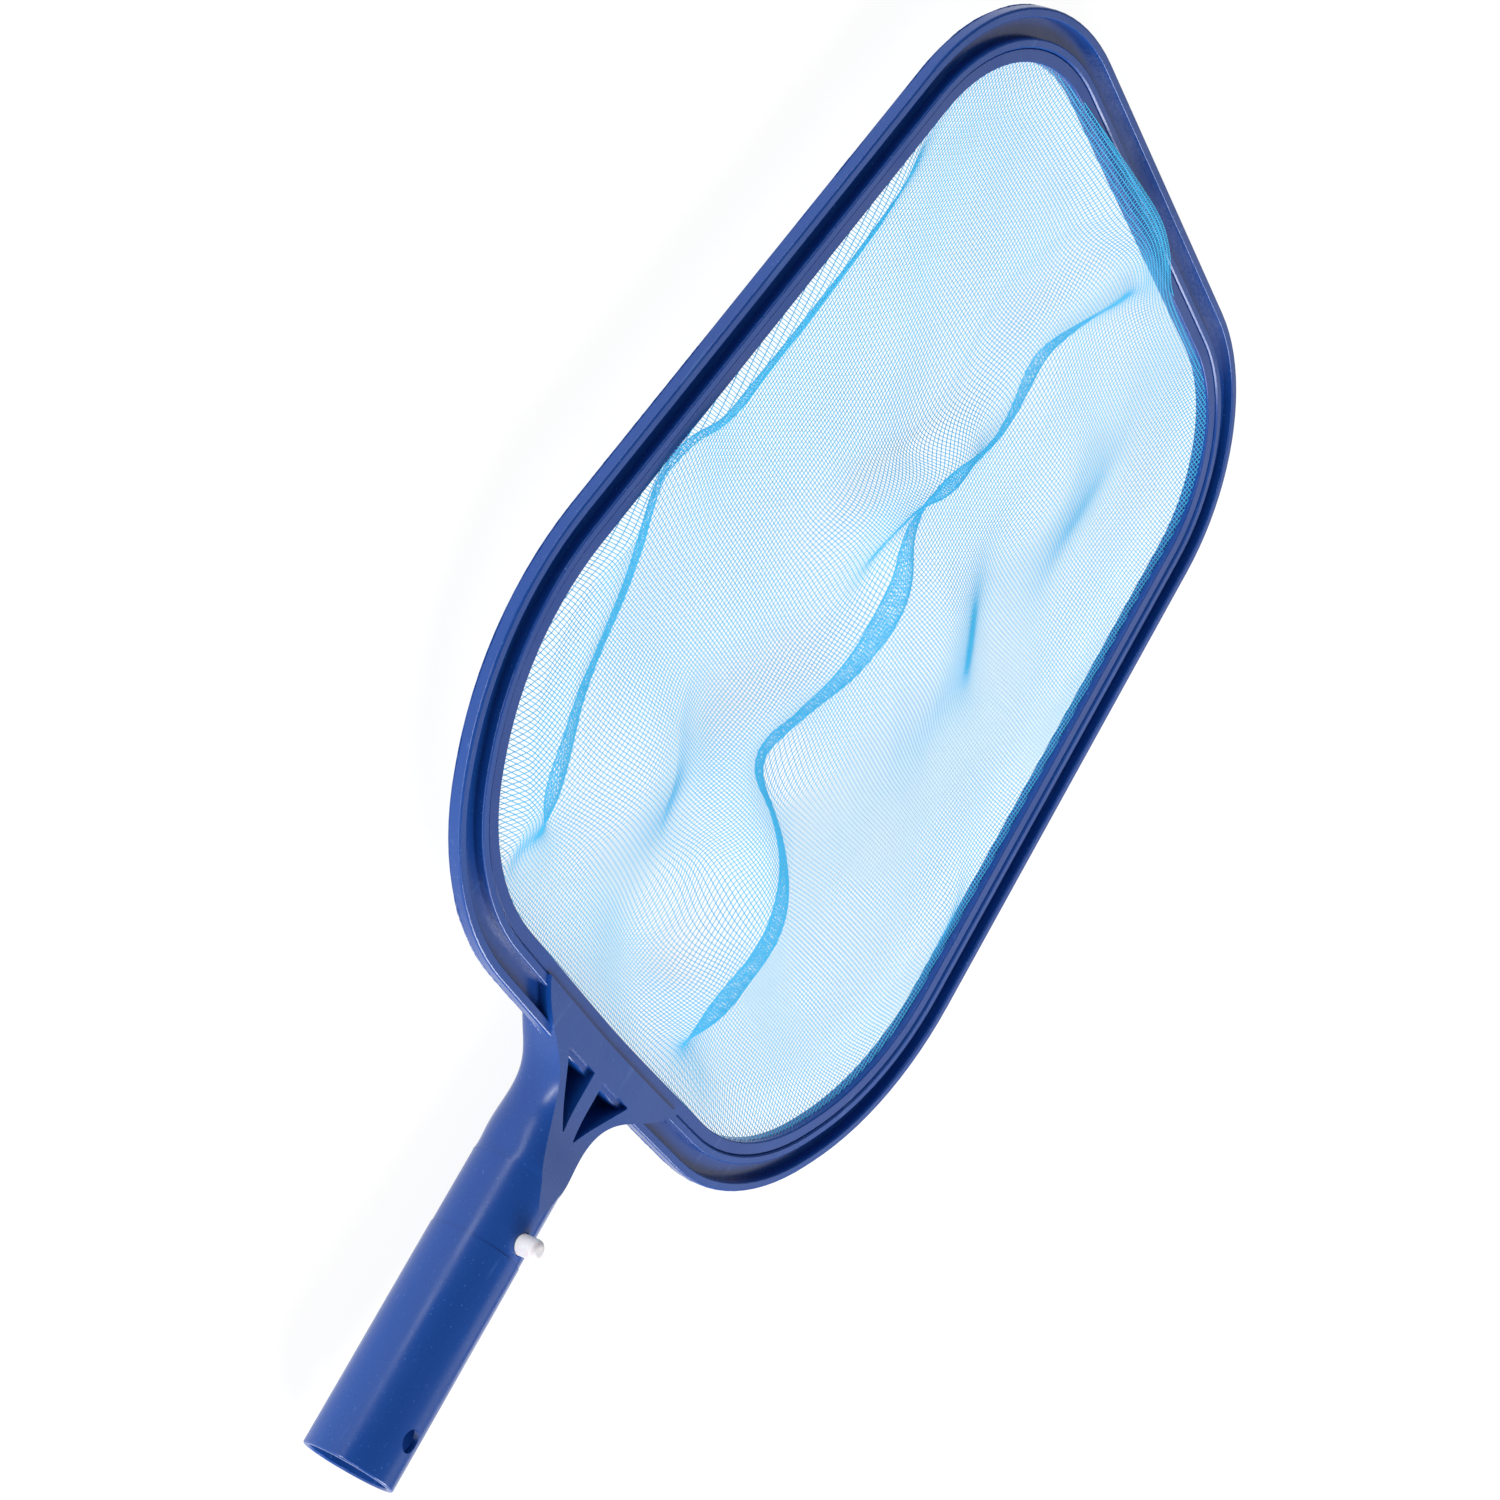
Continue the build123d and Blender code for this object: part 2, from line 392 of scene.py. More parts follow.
def smooth_line(points: tuple[tuple[float, ...], ...], steps: int) -> np.ndarray:
    """A smooth line through a few points.

    Between two points it is a cubic whose slope at each one is half the step from the point before
    to the point after.

    Args:
        points: The points, in order, with any number of coordinates.
        steps: Number of points that the line gets.

    Returns:
        Points of the line, as an array of steps rows.
    """
    given = np.array(points, float)
    padded = np.vstack([2 * given[0] - given[1], given, 2 * given[-1] - given[-2]])
    place = np.linspace(0, len(given) - 1, steps)
    first = np.minimum(place.astype(int), len(given) - 2)
    t = (place - first)[:, None]
    before, start, end, after = (padded[first + shift] for shift in range(4))
    return 0.5 * (2 * start + (end - before) * t + (2 * before - 5 * start + 4 * end - after) * t ** 2
                  + (3 * start - before - 3 * end + after) * t ** 3)


def make_mesh(name: str, points: np.ndarray, faces: np.ndarray) -> bpy.types.Object:
    """Makes a smooth-shaded mesh object at the origin.

    Args:
        name: Name of the object.
        points: Places of the vertices, one row each, in metres.
        faces: Vertex numbers of four-sided faces, one row each.

    Returns:
        The new object, linked to the scene.
    """
    mesh = bpy.data.meshes.new(name)
    mesh.vertices.add(len(points))
    mesh.vertices.foreach_set("co", points.astype(np.float32).ravel())
    mesh.loops.add(faces.size)
    mesh.loops.foreach_set("vertex_index", faces.astype(np.int32).ravel())
    mesh.polygons.add(len(faces))
    mesh.polygons.foreach_set("loop_start", np.arange(0, faces.size, faces.shape[1], dtype=np.int32))
    mesh.polygons.foreach_set("use_smooth", np.ones(len(faces), bool))
    mesh.update(calc_edges=True)
    mesh.validate()
    piece = bpy.data.objects.new(name, mesh)
    bpy.context.scene.collection.objects.link(piece)
    return piece


def grid_faces(rows: int, columns: int, close_rows: bool = False) -> np.ndarray:
    """Four-sided faces of a grid whose columns close into rings.

    Args:
        rows: Number of rings along the piece.
        columns: Number of points in a ring.
        close_rows: Whether the last ring joins the first.

    Returns:
        Vertex numbers, one face a row.
    """
    row = np.arange(rows if close_rows else rows - 1)[:, None]
    column = np.arange(columns)[None, :]
    after, across = (row + 1) % rows, (column + 1) % columns
    corners = [row * columns + column, row * columns + across,
               after * columns + across, after * columns + column]
    return np.stack([np.broadcast_to(c, (len(row), columns)) for c in corners], axis=-1).reshape(-1, 4)


def paint(piece: bpy.types.Object, material: bpy.types.Material) -> None:
    """Puts one material on every slot of a frame node.

    Args:
        piece: The frame's object.
        material: The material that it gets.
    """
    if not piece.material_slots:
        piece.data.materials.append(material)
    for material_slot in piece.material_slots:
        material_slot.material = material


@dataclass(frozen=True)
class HoopOutline:
    """Outer edge of the hoop, in millimetres: corners of a loop, each with its rounding radius."""

    corners: tuple[Triple, ...] = (
        (0.0, 129.2, 900.0), (103.2, 131.5, 82.0), (153.7, 197.2, 100.0), (125.0, 467.4, 68.5),
        (-125.0, 467.4, 68.5), (-153.7, 197.2, 100.0), (-103.2, 131.5, 82.0),
    )
    arc_step: float = math.radians(2.0)
    fewest_points: int = 3

    def loop(self) -> np.ndarray:
        """Points round the outline, anticlockwise from the near edge's middle.

        Each corner is an arc that starts and ends where it touches its two sides, at its radius
        times the tangent of half the turn from the corner.

        Returns:
            The points, one row each, in metres.
        """
        places = np.array([corner[:2] for corner in self.corners])
        arcs = []
        for index, (x, y, radius) in enumerate(self.corners):
            here = np.array([x, y])
            coming = unit(here - places[index - 1])
            going = unit(places[(index + 1) % len(places)] - here)
            turn = math.acos(float(np.clip(coming @ going, -1, 1)))
            start = here - coming * radius * math.tan(turn / 2)
            inward = np.array([-coming[1], coming[0]])
            angle = np.linspace(0, turn, max(self.fewest_points, int(turn / self.arc_step)))[:, None]
            arcs.append(start + radius * (np.sin(angle) * coming + (1 - np.cos(angle)) * inward))
        return np.vstack(arcs) * MM

    def even_loop(self, spacing: float) -> np.ndarray:
        """Spreads points evenly round the outline.

        Args:
            spacing: Distance from one point to the next, in metres.

        Returns:
            The points, one row each, in metres.
        """
        loop = self.loop()
        closed = np.vstack([loop, loop[:1]])
        along = np.concatenate([[0.0], np.cumsum(np.linalg.norm(np.diff(closed, axis=0), axis=1))])
        at = np.linspace(0, along[-1], int(along[-1] / spacing), endpoint=False)
        return np.stack([np.interp(at, along, closed[:, axis]) for axis in range(2)], axis=1)

    def inset(self, x: np.ndarray, y: np.ndarray) -> np.ndarray:
        """How far inside the outline places lie, which is the least distance to any side.

        Args:
            x: Places across, in metres.
            y: Places along, in metres.

        Returns:
            The distances, in metres.
        """
        loop = self.loop()
        side = unit(np.roll(loop, -1, axis=0) - loop)
        inward = np.stack([-side[:, 1], side[:, 0]], axis=1)
        offset = np.sum(inward * loop, axis=1)
        nearest = np.full(x.shape, np.inf)
        for normal, shift in zip(inward, offset):
            nearest = np.minimum(nearest, x * normal[0] + y * normal[1] - shift)
        return nearest


@dataclass(frozen=True)
class Crease:
    """A fold in the slack net, with lengths in millimetres measured along the cloth.

    The cloth rises softly to the crest on its right side, seen along the crest's points, then turns
    down by the turn angle on its left side and comes out flat again. Its threads crowd together
    about the crest. Each crest point has its own share of the full fold as its third number.
    """

    name: str
    crest: tuple[Triple, ...]
    turn: float
    rise: float
    back: float
    crowding: float = 0.4
    crowd_lead: float = 0.6
    steepest_sine: float = 0.9
    gather_reach: float = 30.0
    end_reach: float = 9.0
    blur: float = 3.0
    blur_growth: float = 0.35
    fade_from: float = 16.5
    fade_span: float = 14.0
    crest_steps: int = 120
    section_steps: int = 400

    def profile(self) -> tuple[np.ndarray, np.ndarray, np.ndarray]:
        """The fold's section: how far cloth at each distance from the crest moves across and up.

        The cloth's slope angle is minus the turn times the squared sine of the place along the back,
        and a small angle along the rise that makes up for the fall. Moves across and up are the
        running sums of the cosine less one, and of the sine. Where threads crowd, each step of
        cloth counts as shorter. What is left of the fall at the end is spread along the section.

        Returns:
            Distances from the crest, moves across and moves up, in millimetres.
        """
        distance = np.linspace(-self.rise, self.back, self.section_steps)
        step = distance[1] - distance[0]
        back_share = np.clip(distance / self.back, 0, 1)
        slope = -math.radians(self.turn) * np.sin(math.pi * back_share) ** 2
        crowd_share = np.clip((distance / self.back + self.crowd_lead) / (1 + self.crowd_lead), 0, 1)
        length = 1 - self.crowding * np.sin(math.pi * crowd_share) ** 2
        fall = -(np.sin(slope) * length).sum() * step
        rise_bell = np.where(distance < 0, np.sin(math.pi * (distance + self.rise) / self.rise) ** 2, 0.0)
        rise_sine = np.clip(fall / (rise_bell.sum() * step), -self.steepest_sine, self.steepest_sine)
        slope += np.arcsin(rise_sine) * rise_bell
        across = np.cumsum(np.cos(slope) * length - 1) * step
        up = np.cumsum(np.sin(slope) * length) * step
        up -= up[-1] * (distance + self.rise) / (self.rise + self.back)
        return distance, across - across[-1] / 2, up

    def lift(self, x: np.ndarray, y: np.ndarray) -> np.ndarray:
        """Moves the cloth into the fold.

        A place takes its direction and its share from the crest's points near it, weighted by a
        bell of their distance that grows wider with the distance itself, so that nothing jumps
        from one point of the crest to the next.

        Args:
            x: Places across, in metres.
            y: Places along, in metres.

        Returns:
            How far each place moves along X, Y and Z, in metres.
        """
        course = smooth_line(self.crest, self.crest_steps)
        line, share = course[:, :2] * MM, course[:, 2]
        tangent = unit(np.gradient(line, axis=0))
        leftward = np.stack([-tangent[:, 1], tangent[:, 0]], axis=1)
        places = np.stack([x, y], axis=-1).reshape(-1, 2)
        squares = (places ** 2).sum(1)[:, None] + (line ** 2).sum(1)[None, :] - 2 * places @ line.T
        least = squares.min(1)[:, None]
        width = 2 * (self.blur * MM) ** 2 + 2 * self.blur_growth ** 2 * least
        weight = np.exp(-(squares - least) / width)
        weight /= weight.sum(1)[:, None]
        side = (weight * (places @ leftward.T - (line * leftward).sum(1))).sum(1) / MM
        beyond = (weight * (places @ tangent.T - (line * tangent).sum(1))).sum(1) / MM
        heading = unit(weight @ leftward)
        fade = (weight @ share) * np.exp(-(beyond / self.end_reach) ** 2)
        distance, across, up = self.profile()
        outside = np.maximum(-self.rise - side, side - self.back).clip(0, None)
        shift = np.interp(side, distance, across) * np.exp(-outside / self.gather_reach)
        moved = np.zeros((len(places), 3))
        moved[:, :2] = heading * (shift * fade)[:, None] * MM
        moved[:, 2] = np.interp(side, distance, up) * fade * MM
        return moved.reshape(*x.shape, 3)


@dataclass
class Net:
    """Woven net, clamped flat round its edge and slack inside.

    Insets are measured inward from the hoop's outer edge. A thread's flatness and its lift at a
    crossing are shares of its radius. Each wave is a length and a height, in millimetres.
    """

    outline: HoopOutline
    finish: WovenThread
    creases: tuple[Crease, ...]
    bands: tuple[str, ...] = ("net_near", "net_lower_middle", "net_upper_middle", "net_far")
    pitch: float = 1.2 * MM
    thread_radius: float = 0.15 * MM
    thread_sides: int = 3
    thread_flatness: float = 0.7
    thread_lift: float = 0.6
    clamp_inset: float = 12.5 * MM
    free_inset: float = 16.5 * MM
    edge_z: float = -5.33 * MM
    sag: float = 8.5 * MM
    sag_span: float = 60.0 * MM
    fade_span: float = 14.0 * MM
    waves: tuple[Pair, ...] = ((130, 0.9), (95, 0.7), (70, 0.5), (48, 0.3), (30, 0.12))
    wave_seed: int = 7

    def sheet(self) -> tuple[np.ndarray, np.ndarray]:
        """Where the warp and weft threads cross.

        The cloth lies flat at the clamp, sags by a rounded step of the inset, and has the creases
        and some long shallow waves added to it.

        Returns:
            The crossings' places as columns by rows by three, and which of them the net has.
        """
        loop = self.outline.loop()
        reach = math.floor(loop[:, 0].max() / self.pitch)
        columns = np.arange(-reach, reach + 1) * self.pitch
        rows = np.arange(loop[:, 1].min(), loop[:, 1].max(), self.pitch)
        x, y = np.meshgrid(columns, rows, indexing="ij")
        inset = self.outline.inset(x, y)
        free = inset - self.free_inset
        depth = np.clip(free / self.sag_span, 0, 1)
        places = np.stack([x, y, self.edge_z - self.sag * (1 - (1 - depth) ** 2)], axis=-1)
        for crease in self.creases:
            share = smoothstep((inset / MM - crease.fade_from) / crease.fade_span)
            places += crease.lift(x, y) * share[..., None]
            LOG.info("%s laid in the cloth", crease.name)
        places += self.wander(x, y) * smoothstep(free / self.fade_span)[..., None]
        return places, inset > self.clamp_inset

    def wander(self, x: np.ndarray, y: np.ndarray) -> np.ndarray:
        """Long shallow waves in the cloth, each with its own heading and phase.

        Args:
            x: Places across, in metres.
            y: Places along, in metres.

        Returns:
            How far each place moves along X, Y and Z, in metres.
        """
        rng = np.random.default_rng(self.wave_seed)
        moved = np.zeros((*x.shape, 3))
        for length, height in self.waves:
            for axis in range(3):
                heading, phase = rng.uniform(0, 2 * math.pi, 2)
                along = x * math.cos(heading) + y * math.sin(heading)
                moved[..., axis] += np.sin(along * 2 * math.pi / (length * MM) + phase) * height * MM
        return moved

    def tubes(self, places: np.ndarray, normal: np.ndarray, present: np.ndarray, axis: int,
              first: int) -> tuple[np.ndarray, np.ndarray]:
        """Thin tubes through neighbouring crossings.

        Each crossing gets a ring of points square to its thread, and each pair of neighbours that
        the net has is joined by a face for each side of the thread.

        Args:
            places: Where each thread passes each crossing.
            normal: The cloth's normal at each crossing.
            present: Which crossings the net has.
            axis: 0 for threads along the first index, 1 for threads along the second.
            first: Number of the first vertex.

        Returns:
            The vertices and the faces.
        """
        sides = self.thread_sides
        thread = unit(np.gradient(places, axis=axis))
        across = unit(np.cross(thread, normal))
        angle = np.arange(sides) * 2 * math.pi / sides + math.pi / 2
        wide = np.cos(angle)[:, None] * across[..., None, :]
        high = np.sin(angle)[:, None] * normal[..., None, :] * self.thread_flatness
        ring = (wide + high) * self.thread_radius
        points = (places[..., None, :] + ring)[present].reshape(-1, 3)
        number = np.full(present.shape, -1)
        number[present] = first + sides * np.arange(present.sum())
        start, end = (number[:-1], number[1:]) if axis == 0 else (number[:, :-1], number[:, 1:])
        joined = (start >= 0) & (end >= 0)
        start, end = start[joined][:, None], end[joined][:, None]
        side = np.arange(sides)[None, :]
        following = (side + 1) % sides
        faces = np.stack([start + side, start + following, end + following, end + side], axis=-1)
        return points, faces.reshape(-1, 4)

    def weave(self, places: np.ndarray, present: np.ndarray, name: str) -> bpy.types.Object:
        """Weaves one band of the net.

        Threads pass over and under each other in turn: at each crossing the warp is lifted by most
        of a thread's radius along the cloth's normal, or lowered by it, and the weft the other way.

        Args:
            places: Where the threads cross.
            present: Which crossings the band has.
            name: Name of the piece.

        Returns:
            The band of net.
        """
        normal = unit(np.cross(np.gradient(places, axis=0), np.gradient(places, axis=1)))
        column, row = np.indices(present.shape)
        over = np.where((column + row) % 2 == 0, 1.0, -1.0)[..., None]
        lift = over * normal * self.thread_radius * self.thread_lift
        warp, warp_faces = self.tubes(places + lift, normal, present, 1, 0)
        weft, weft_faces = self.tubes(places - lift, normal, present, 0, len(warp))
        return make_mesh(name, np.vstack([warp, weft]), np.vstack([warp_faces, weft_faces]))

    def build(self) -> list[bpy.types.Object]:
        """Builds the net in bands, each a sheet of its own with a quarter of the rows.

        Returns:
            The bands, from the handle's end to the far end.
        """
        material = self.finish.build()
        places, present = self.sheet()
        rows = np.flatnonzero(present.any(axis=0))
        cuts = np.linspace(rows[0], rows[-1], len(self.bands) + 1).astype(int)
        pieces = []
        for name, start, end in zip(self.bands, cuts[:-1], cuts[1:]):
            part = slice(start, end + 1)
            shown = present[:, part].copy()
            piece = self.weave(places[:, part], shown, name)
            piece.data.materials.append(material)
            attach(piece, "frame")
            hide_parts("net_mesh")
            pieces.append(piece)
        return pieces


@dataclass
class MouldFlash:
    """Thin ragged bead where the mould's halves met, low on the hoop's outer wall.

    The bead is a flat ring of four points carried round the outline. Its height above the wall is a
    product of random numbers, smoothed at two scales, so that it comes and goes. Shares are of its
    full height.
    """

    outline: HoopOutline
    spacing: float = 0.4 * MM
    level: float = -6.3 * MM
    height: float = 0.22 * MM
    least_share: float = 0.05
    steady_share: float = 0.25
    ragged_share: float = 0.9
    gap_share: float = 0.42
    ramp_share: float = 0.2
    runs: tuple[int, int] = (60, 4)
    root_depth: float = 0.3 * MM
    root_half_width: float = 0.16 * MM
    tip_half_width: float = 0.05 * MM
    seed: int = 11

    def build(self, material: bpy.types.Material) -> bpy.types.Object:
        """Builds the bead.

        Args:
            material: The hoop's plastic.

        Returns:
            The bead.
        """
        loop = self.outline.even_loop(self.spacing)
        rng = np.random.default_rng(self.seed)
        coarse, fine = (self.smoothed(rng.random(len(loop)), run) for run in self.runs)
        swell = smoothstep((coarse - self.gap_share) / self.ramp_share)
        tip = self.height * (self.least_share + swell * (self.steady_share + self.ragged_share * fine))
        root = np.full(len(loop), -self.root_depth)
        tangent = unit(np.roll(loop, -1, axis=0) - np.roll(loop, 1, axis=0))
        outward = np.stack([tangent[:, 1], -tangent[:, 0]], axis=1)
        section = ((root, self.root_half_width), (tip, self.tip_half_width),
                   (tip, -self.tip_half_width), (root, -self.root_half_width))
        rings = [np.column_stack([loop + outward * out[:, None], np.full(len(loop), self.level + up)])
                 for out, up in section]
        points = np.stack(rings, axis=1).reshape(-1, 3)
        faces = grid_faces(len(loop), len(section), close_rows=True)[:, ::-1]
        piece = make_mesh("mould_flash", points, faces)
        piece.data.materials.append(material)
        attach(piece, "frame")
        return piece

    @staticmethod
    def smoothed(values: np.ndarray, run: int) -> np.ndarray:
        """Averages a closed row of numbers and spreads it over 0 to 1 again.

        Args:
            values: The numbers.
            run: How many neighbours are averaged.

        Returns:
            The smoothed numbers.
        """
        kernel = np.hanning(run + 2)[1:-1]
        wrapped = np.concatenate([values[-run:], values, values[:run]])
        mean = np.convolve(wrapped, kernel / kernel.sum(), mode="same")[run:-run]
        return (mean - mean.min()) / (mean.max() - mean.min())


@dataclass
class SnapClip:
    """White V-shaped clip inside the tube: a springy arm with the button, a resting arm and their bend."""

    plastic: MouldedPlastic
    tilt: float = math.radians(4.08)
    bend_at: float = 102.0 * MM
    bend_radius: float = 3.2 * MM
    bend_points: int = 25
    pad_at: float = 83.5 * MM
    pad_height: float = 9.9 * MM
    rest_at: float = 72.0 * MM
    rest_height: float = 10.3 * MM
    arm_points: int = 22
    half_width: float = 3.95 * MM
    half_thickness: float = 0.78 * MM
    section_points: int = 24
    section_power: float = 6.0
    end_sizes: Pair = (0.02, 0.92)

    def place(self, along: np.ndarray, height: np.ndarray) -> np.ndarray:
        """Turns places in the tilted handle into points of the frame.

        Args:
            along: Distances along the handle, in metres.
            height: Heights above its axis, in metres.

        Returns:
            The points, one row each, in metres.
        """
        cosine, sine = math.cos(self.tilt), math.sin(self.tilt)
        return np.stack([0 * along, along * cosine + height * sine, height * cosine - along * sine], axis=-1)

    def strip(self, name: str, line: np.ndarray) -> bpy.types.Object:
        """Carries a flat rounded section along a line in the handle's middle plane.

        The section is a superellipse: its width and thickness go as the cosine and sine of an
        angle, each raised to a small power. Two more rings at each end shrink to close it.

        Args:
            name: Name of the piece.
            line: The line's points, in metres.

        Returns:
            The strip.
        """
        angle = np.arange(self.section_points) / self.section_points * 2 * math.pi
        power = 2 / self.section_power
        wide = np.sign(np.cos(angle)) * np.abs(np.cos(angle)) ** power * self.half_width
        thick = np.sign(np.sin(angle)) * np.abs(np.sin(angle)) ** power * self.half_thickness
        across = np.array([1.0, 0.0, 0.0])
        upward = np.cross(across, unit(np.gradient(line, axis=0)))
        closing = len(self.end_sizes)
        spine, lift = (np.pad(rows, ((closing, closing), (0, 0)), mode="edge") for rows in (line, upward))
        size = np.concatenate([self.end_sizes, np.ones(len(line)), self.end_sizes[::-1]])
        rings = (spine[:, None, :] + size[:, None, None]
                 * (wide[None, :, None] * across + thick[None, :, None] * lift[:, None, :]))
        return make_mesh(name, rings.reshape(-1, 3), grid_faces(len(spine), self.section_points))

    def arm_line(self, end_at: float, end_height: float, side: float) -> np.ndarray:
        """Points of a straight arm, from the bend to its end.

        Args:
            end_at: Where the arm ends along the handle, in metres.
            end_height: How far from the handle's axis it ends, in metres.
            side: 1 for the front side and -1 for the rear.

        Returns:
            The points, one row each, in metres.
        """
        share = np.linspace(0, 1, self.arm_points)
        along = self.bend_at + (end_at - self.bend_at) * share
        height = self.bend_radius + (end_height - self.bend_radius) * share
        return self.place(along, side * height)

    def build(self, nodes: dict[str, bpy.types.Object]) -> list[bpy.types.Object]:
        """Builds the arms and the bend, and dresses the button.

        Args:
            nodes: The frame's objects by name.

        Returns:
            The bend and the two arms.
        """
        material = self.plastic.build()
        turn = np.linspace(-math.pi / 2, math.pi / 2, self.bend_points)
        bend = self.strip("clip_spring_bend", self.place(
            self.bend_at + self.bend_radius * np.cos(turn), self.bend_radius * np.sin(turn)))
        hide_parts("clip_bend")
        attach(bend, "frame")
        rest_line = self.arm_line(self.rest_at, self.rest_height, -1.0)
        rest_arm = self.strip("clip_rest_spring", rest_line)
        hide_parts("clip_rest_arm")
        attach(rest_arm, "frame")
        button_line = self.arm_line(self.pad_at, self.pad_height, 1.0)
        button_arm = self.strip("clip_button_spring", button_line)
        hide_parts("clip_button_arm")
        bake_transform(button_arm)
        paint(nodes["snap_button"], material)
        pieces = [bend, rest_arm, button_arm]
        for piece in pieces:
            piece.data.materials.append(material)
        return pieces


@dataclass(frozen=True)
class SoftLight:
    """A large soft light: place and size in metres, and power in watts."""

    name: str
    place: Triple
    size: Pair
    power: float
    colour: Triple = (1.0, 1.0, 1.0)

    def build(self, aim: Vector) -> None:
        """Adds the light, turned towards a point.

        Args:
            aim: The point.
        """
        lamp = bpy.data.lights.new(self.name, "AREA")
        lamp.shape = "RECTANGLE"
        lamp.size, lamp.size_y = self.size
        lamp.energy = self.power
        lamp.color = self.colour
        holder = bpy.data.objects.new(self.name, lamp)
        holder.location = self.place
        holder.rotation_euler = (aim - Vector(self.place)).to_track_quat("-Z", "Y").to_euler()
        bpy.context.scene.collection.objects.link(holder)


@dataclass
class Studio:
    """Pale floor, soft lights and the camera.

    The camera's turn is in degrees, its lens and sensor are in millimetres, and other lengths are in
    metres.
    """

    floor_reach: float = 6.0
    floor_gap: float = 0.3 * MM
    camera_place: Triple = (-0.86079, -0.05114, 0.59775)
    camera_turn: Triple = (-29.38, -49.846, 55.215)
    focal_length: float = 87.43
    sensor_width: float = 36.0
    nearest_seen: float = 0.05
    farthest_seen: float = 50.0
    world_colour: Colour = (1.0, 1.0, 1.0, 1.0)
    world_strength: float = 0.2
    lights: tuple[SoftLight, ...] = (
        SoftLight("key_softbox", (1.3, -0.9, 1.2), (1.3, 1.0), 50.0),
        SoftLight("far_softbox", (1.5, 0.9, 1.1), (1.5, 1.1), 4.0),
        SoftLight("left_softbox", (-0.5, -1.5, 0.6), (1.2, 0.6), 10.0),
        SoftLight("low_left_softbox", (-1.35, -0.86, 0.1), (1.0, 0.16), 12.0),
        SoftLight("low_softbox", (-1.5, 0.8, 0.22), (1.2, 0.35), 6.0),
    )

    def build(self, low: Vector, high: Vector) -> None:
        """Builds the studio round the object.

        Args:
            low: Lowest corner of the object's box.
            high: Highest corner of the object's box.
        """
        self.floor(low.z - self.floor_gap)
        for light in self.lights:
            light.build((low + high) / 2)
        self.world()
        self.camera()

    def floor(self, ground: float) -> None:
        """Adds the floor.

        Args:
            ground: Its height, in metres.
        """
        reach = self.floor_reach
        corners = np.array([(-reach, -reach, ground), (reach, -reach, ground),
                            (reach, reach, ground), (-reach, reach, ground)])
        floor = make_mesh("studio_floor", corners, np.array([[0, 1, 2, 3]]))
        floor.data.materials.append(PaleFloor().build())
        floor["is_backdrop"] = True

    def world(self) -> None:
        """Lights the scene evenly from all round."""
        world = bpy.data.worlds.new("studio_world")
        world.use_nodes = True
        background = world.node_tree.nodes["Background"]
        background.inputs["Color"].default_value = self.world_colour
        background.inputs["Strength"].default_value = self.world_strength
        bpy.context.scene.world = world
        bpy.context.scene.view_settings.view_transform = "Standard"

    def camera(self) -> None:
        """Adds the camera."""
        lens = bpy.data.cameras.new("camera")
        lens.lens = self.focal_length
        lens.sensor_width = self.sensor_width
        lens.clip_start, lens.clip_end = self.nearest_seen, self.farthest_seen
        holder = bpy.data.objects.new("camera", lens)
        holder.location = self.camera_place
        holder.rotation_euler = [math.radians(angle) for angle in self.camera_turn]
        bpy.context.scene.collection.objects.link(holder)
        bpy.context.scene.camera = holder


SCUFF_BLUE = linear(92, 134, 196)
BLUE_MOULDING = MouldedPlastic("blue_moulding", linear(16, 66, 144), linear(20, 72, 152), SCUFF_BLUE)
BLUE_RING_MOULDING = MouldedPlastic("blue_ring_moulding", linear(17, 68, 148), linear(15, 62, 140),
                                    SCUFF_BLUE)
WHITE_CLIP_MOULDING = MouldedPlastic("white_clip_moulding", linear(232, 229, 232), linear(224, 221, 226),
                                     linear(245, 244, 246), Surface.SATIN, 0.15)
NET_THREAD = WovenThread("net_thread", linear(62, 176, 222), linear(78, 186, 228))

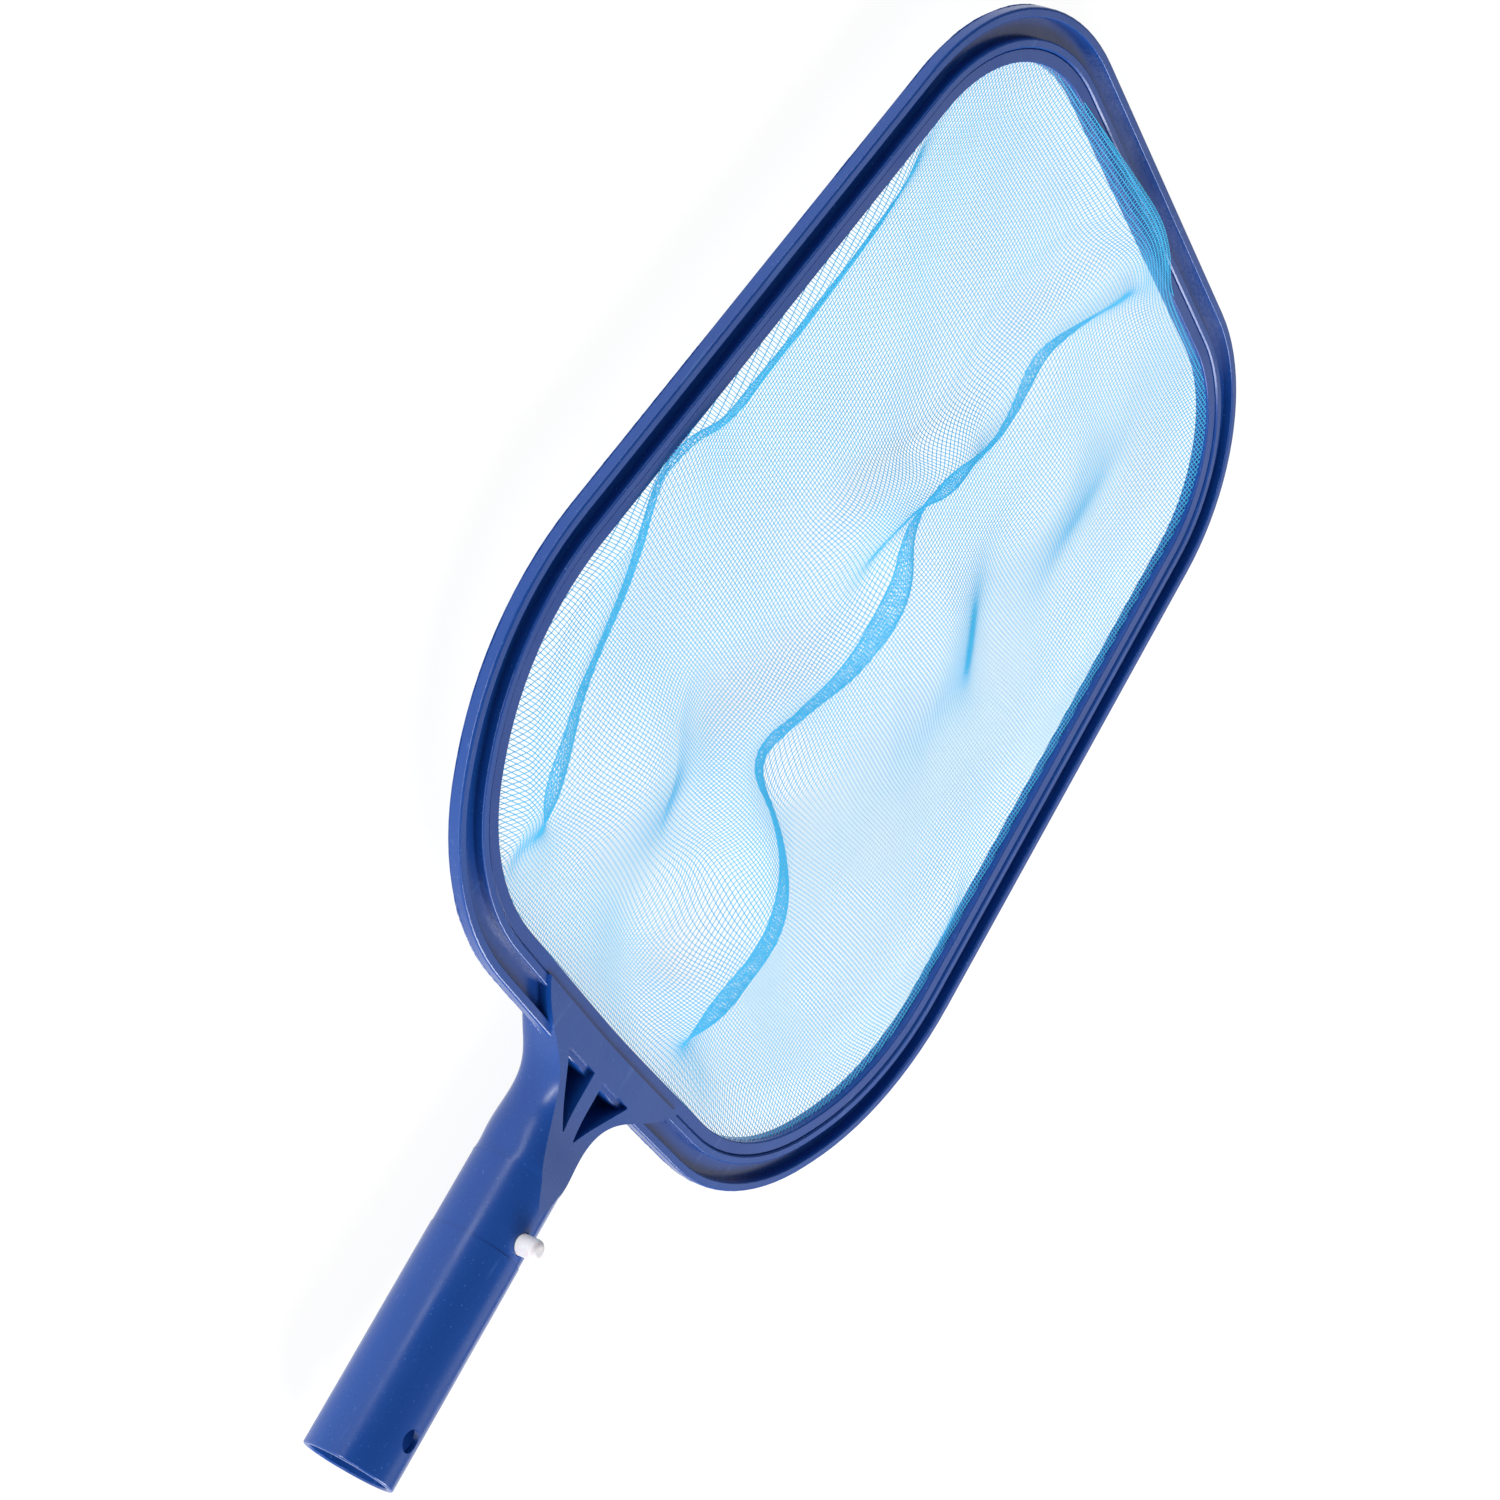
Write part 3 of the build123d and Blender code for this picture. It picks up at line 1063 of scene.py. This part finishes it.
CREASES = (
    Crease(
        "left_fold",
        ((-122, 400, 0.0), (-119, 374, 0.6), (-120, 339, 0.7), (-124, 298, 0.8), (-135, 276, 1.0),
         (-135, 254, 0.8), (-116, 226, 0.8), (-108, 197, 0.9), (-96, 171, 1.0), (-82, 160, 0.0)),
        turn=76, rise=24, back=22, fade_from=13.0, fade_span=7.0,
    ),
    Crease(
        "middle_fold_far",
        ((14, 450, 0.0), (7, 432, 0.75), (-2, 414, 0.95), (-8, 395, 1.0), (-4, 371, 0.85),
         (-11, 345, 0.75), (-15, 318, 0.9), (-9, 303, 0.95), (-8, 285, 0.9), (-10, 272, 0.7),
         (-15, 255, 0.3), (-19, 236, 0.0)),
        turn=77, rise=30, back=23,
    ),
    Crease(
        "middle_fold_near",
        ((-8, 285, 0.0), (-10, 272, 0.3), (-15, 255, 0.7), (-19, 236, 0.9), (-10, 225, 1.0),
         (15, 215, 1.0), (28, 203, 1.0), (29, 188, 0.97), (24, 172, 0.9), (10, 152, 0.0)),
        turn=73, rise=34, back=33, crowding=0.34,
    ),
    Crease(
        "branch_fold",
        ((-8, 366, 0.0), (-20, 346, 0.9), (-33, 330, 1.0), (-39, 310, 1.0), (-38, 286, 0.0)),
        turn=72, rise=20, back=21,
    ),
    Crease(
        "short_fold",
        ((-6, 328, 0.0), (-3, 304, 1.0), (-2, 288, 0.9), (1, 262, 0.0)),
        turn=31, rise=28, back=28,
    ),
    Crease(
        "cross_band",
        ((24, 336, 0.0), (44, 320, 1.0), (60, 308, 1.0), (80, 296, 0.0)),
        turn=26, rise=28, back=28,
    ),
    Crease(
        "far_band",
        ((52, 414, 0.0), (60, 382, 1.0), (63, 346, 0.0)),
        turn=26, rise=30, back=30,
    ),
    Crease(
        "near_band",
        ((-66, 240, 0.0), (-52, 205, 1.0), (-42, 174, 0.0)),
        turn=26, rise=30, back=30,
    ),
    Crease(
        "far_edge_fold",
        ((-82, 449, 0.0), (-56, 450, 0.3), (-28, 450.5, 0.65), (-6, 450.5, 0.85), (12, 450.5, 0.66),
         (28, 450, 0.28), (46, 450, 0.14), (84, 448, 0.14), (106, 440, 0.18), (122, 420, 0.2),
         (130, 395, 0.15), (134, 360, 0.0)),
        turn=125, rise=22, back=20, crowding=0.2, fade_from=13.0, fade_span=3.6,
    ),
    Crease(
        "right_edge_fold",
        ((120, 274, 0.0), (127, 258, 1.0), (133, 244, 1.0), (134, 224, 0.0)),
        turn=74, rise=14, back=11,
    ),
)


def main() -> None:
    """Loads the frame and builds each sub-assembly in order."""
    logging.basicConfig(level=logging.INFO, format="%(name)s: %(message)s")
    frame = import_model()
    nodes = frame["nodes"]
    frame_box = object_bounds()
    outline = HoopOutline()
    hoop_plastic = BLUE_MOULDING.build()
    for name in ("hoop_frame", "handle_neck", "pole_tube"):
        paint(nodes[name], hoop_plastic)
    paint(nodes["net_retaining_ring"], BLUE_RING_MOULDING.build())
    LOG.info("hoop, neck, tube and ring dressed")
    pieces = [MouldFlash(outline).build(hoop_plastic)]
    pieces += SnapClip(WHITE_CLIP_MOULDING).build(nodes)
    pieces += Net(outline, NET_THREAD, CREASES).build()
    for piece in pieces:
        LOG.info("%s: %d faces", piece.name, len(piece.data.polygons))
    Studio().build(*frame_box)
    LOG.info("boxes written")


if __name__ == "__main__":
    main()
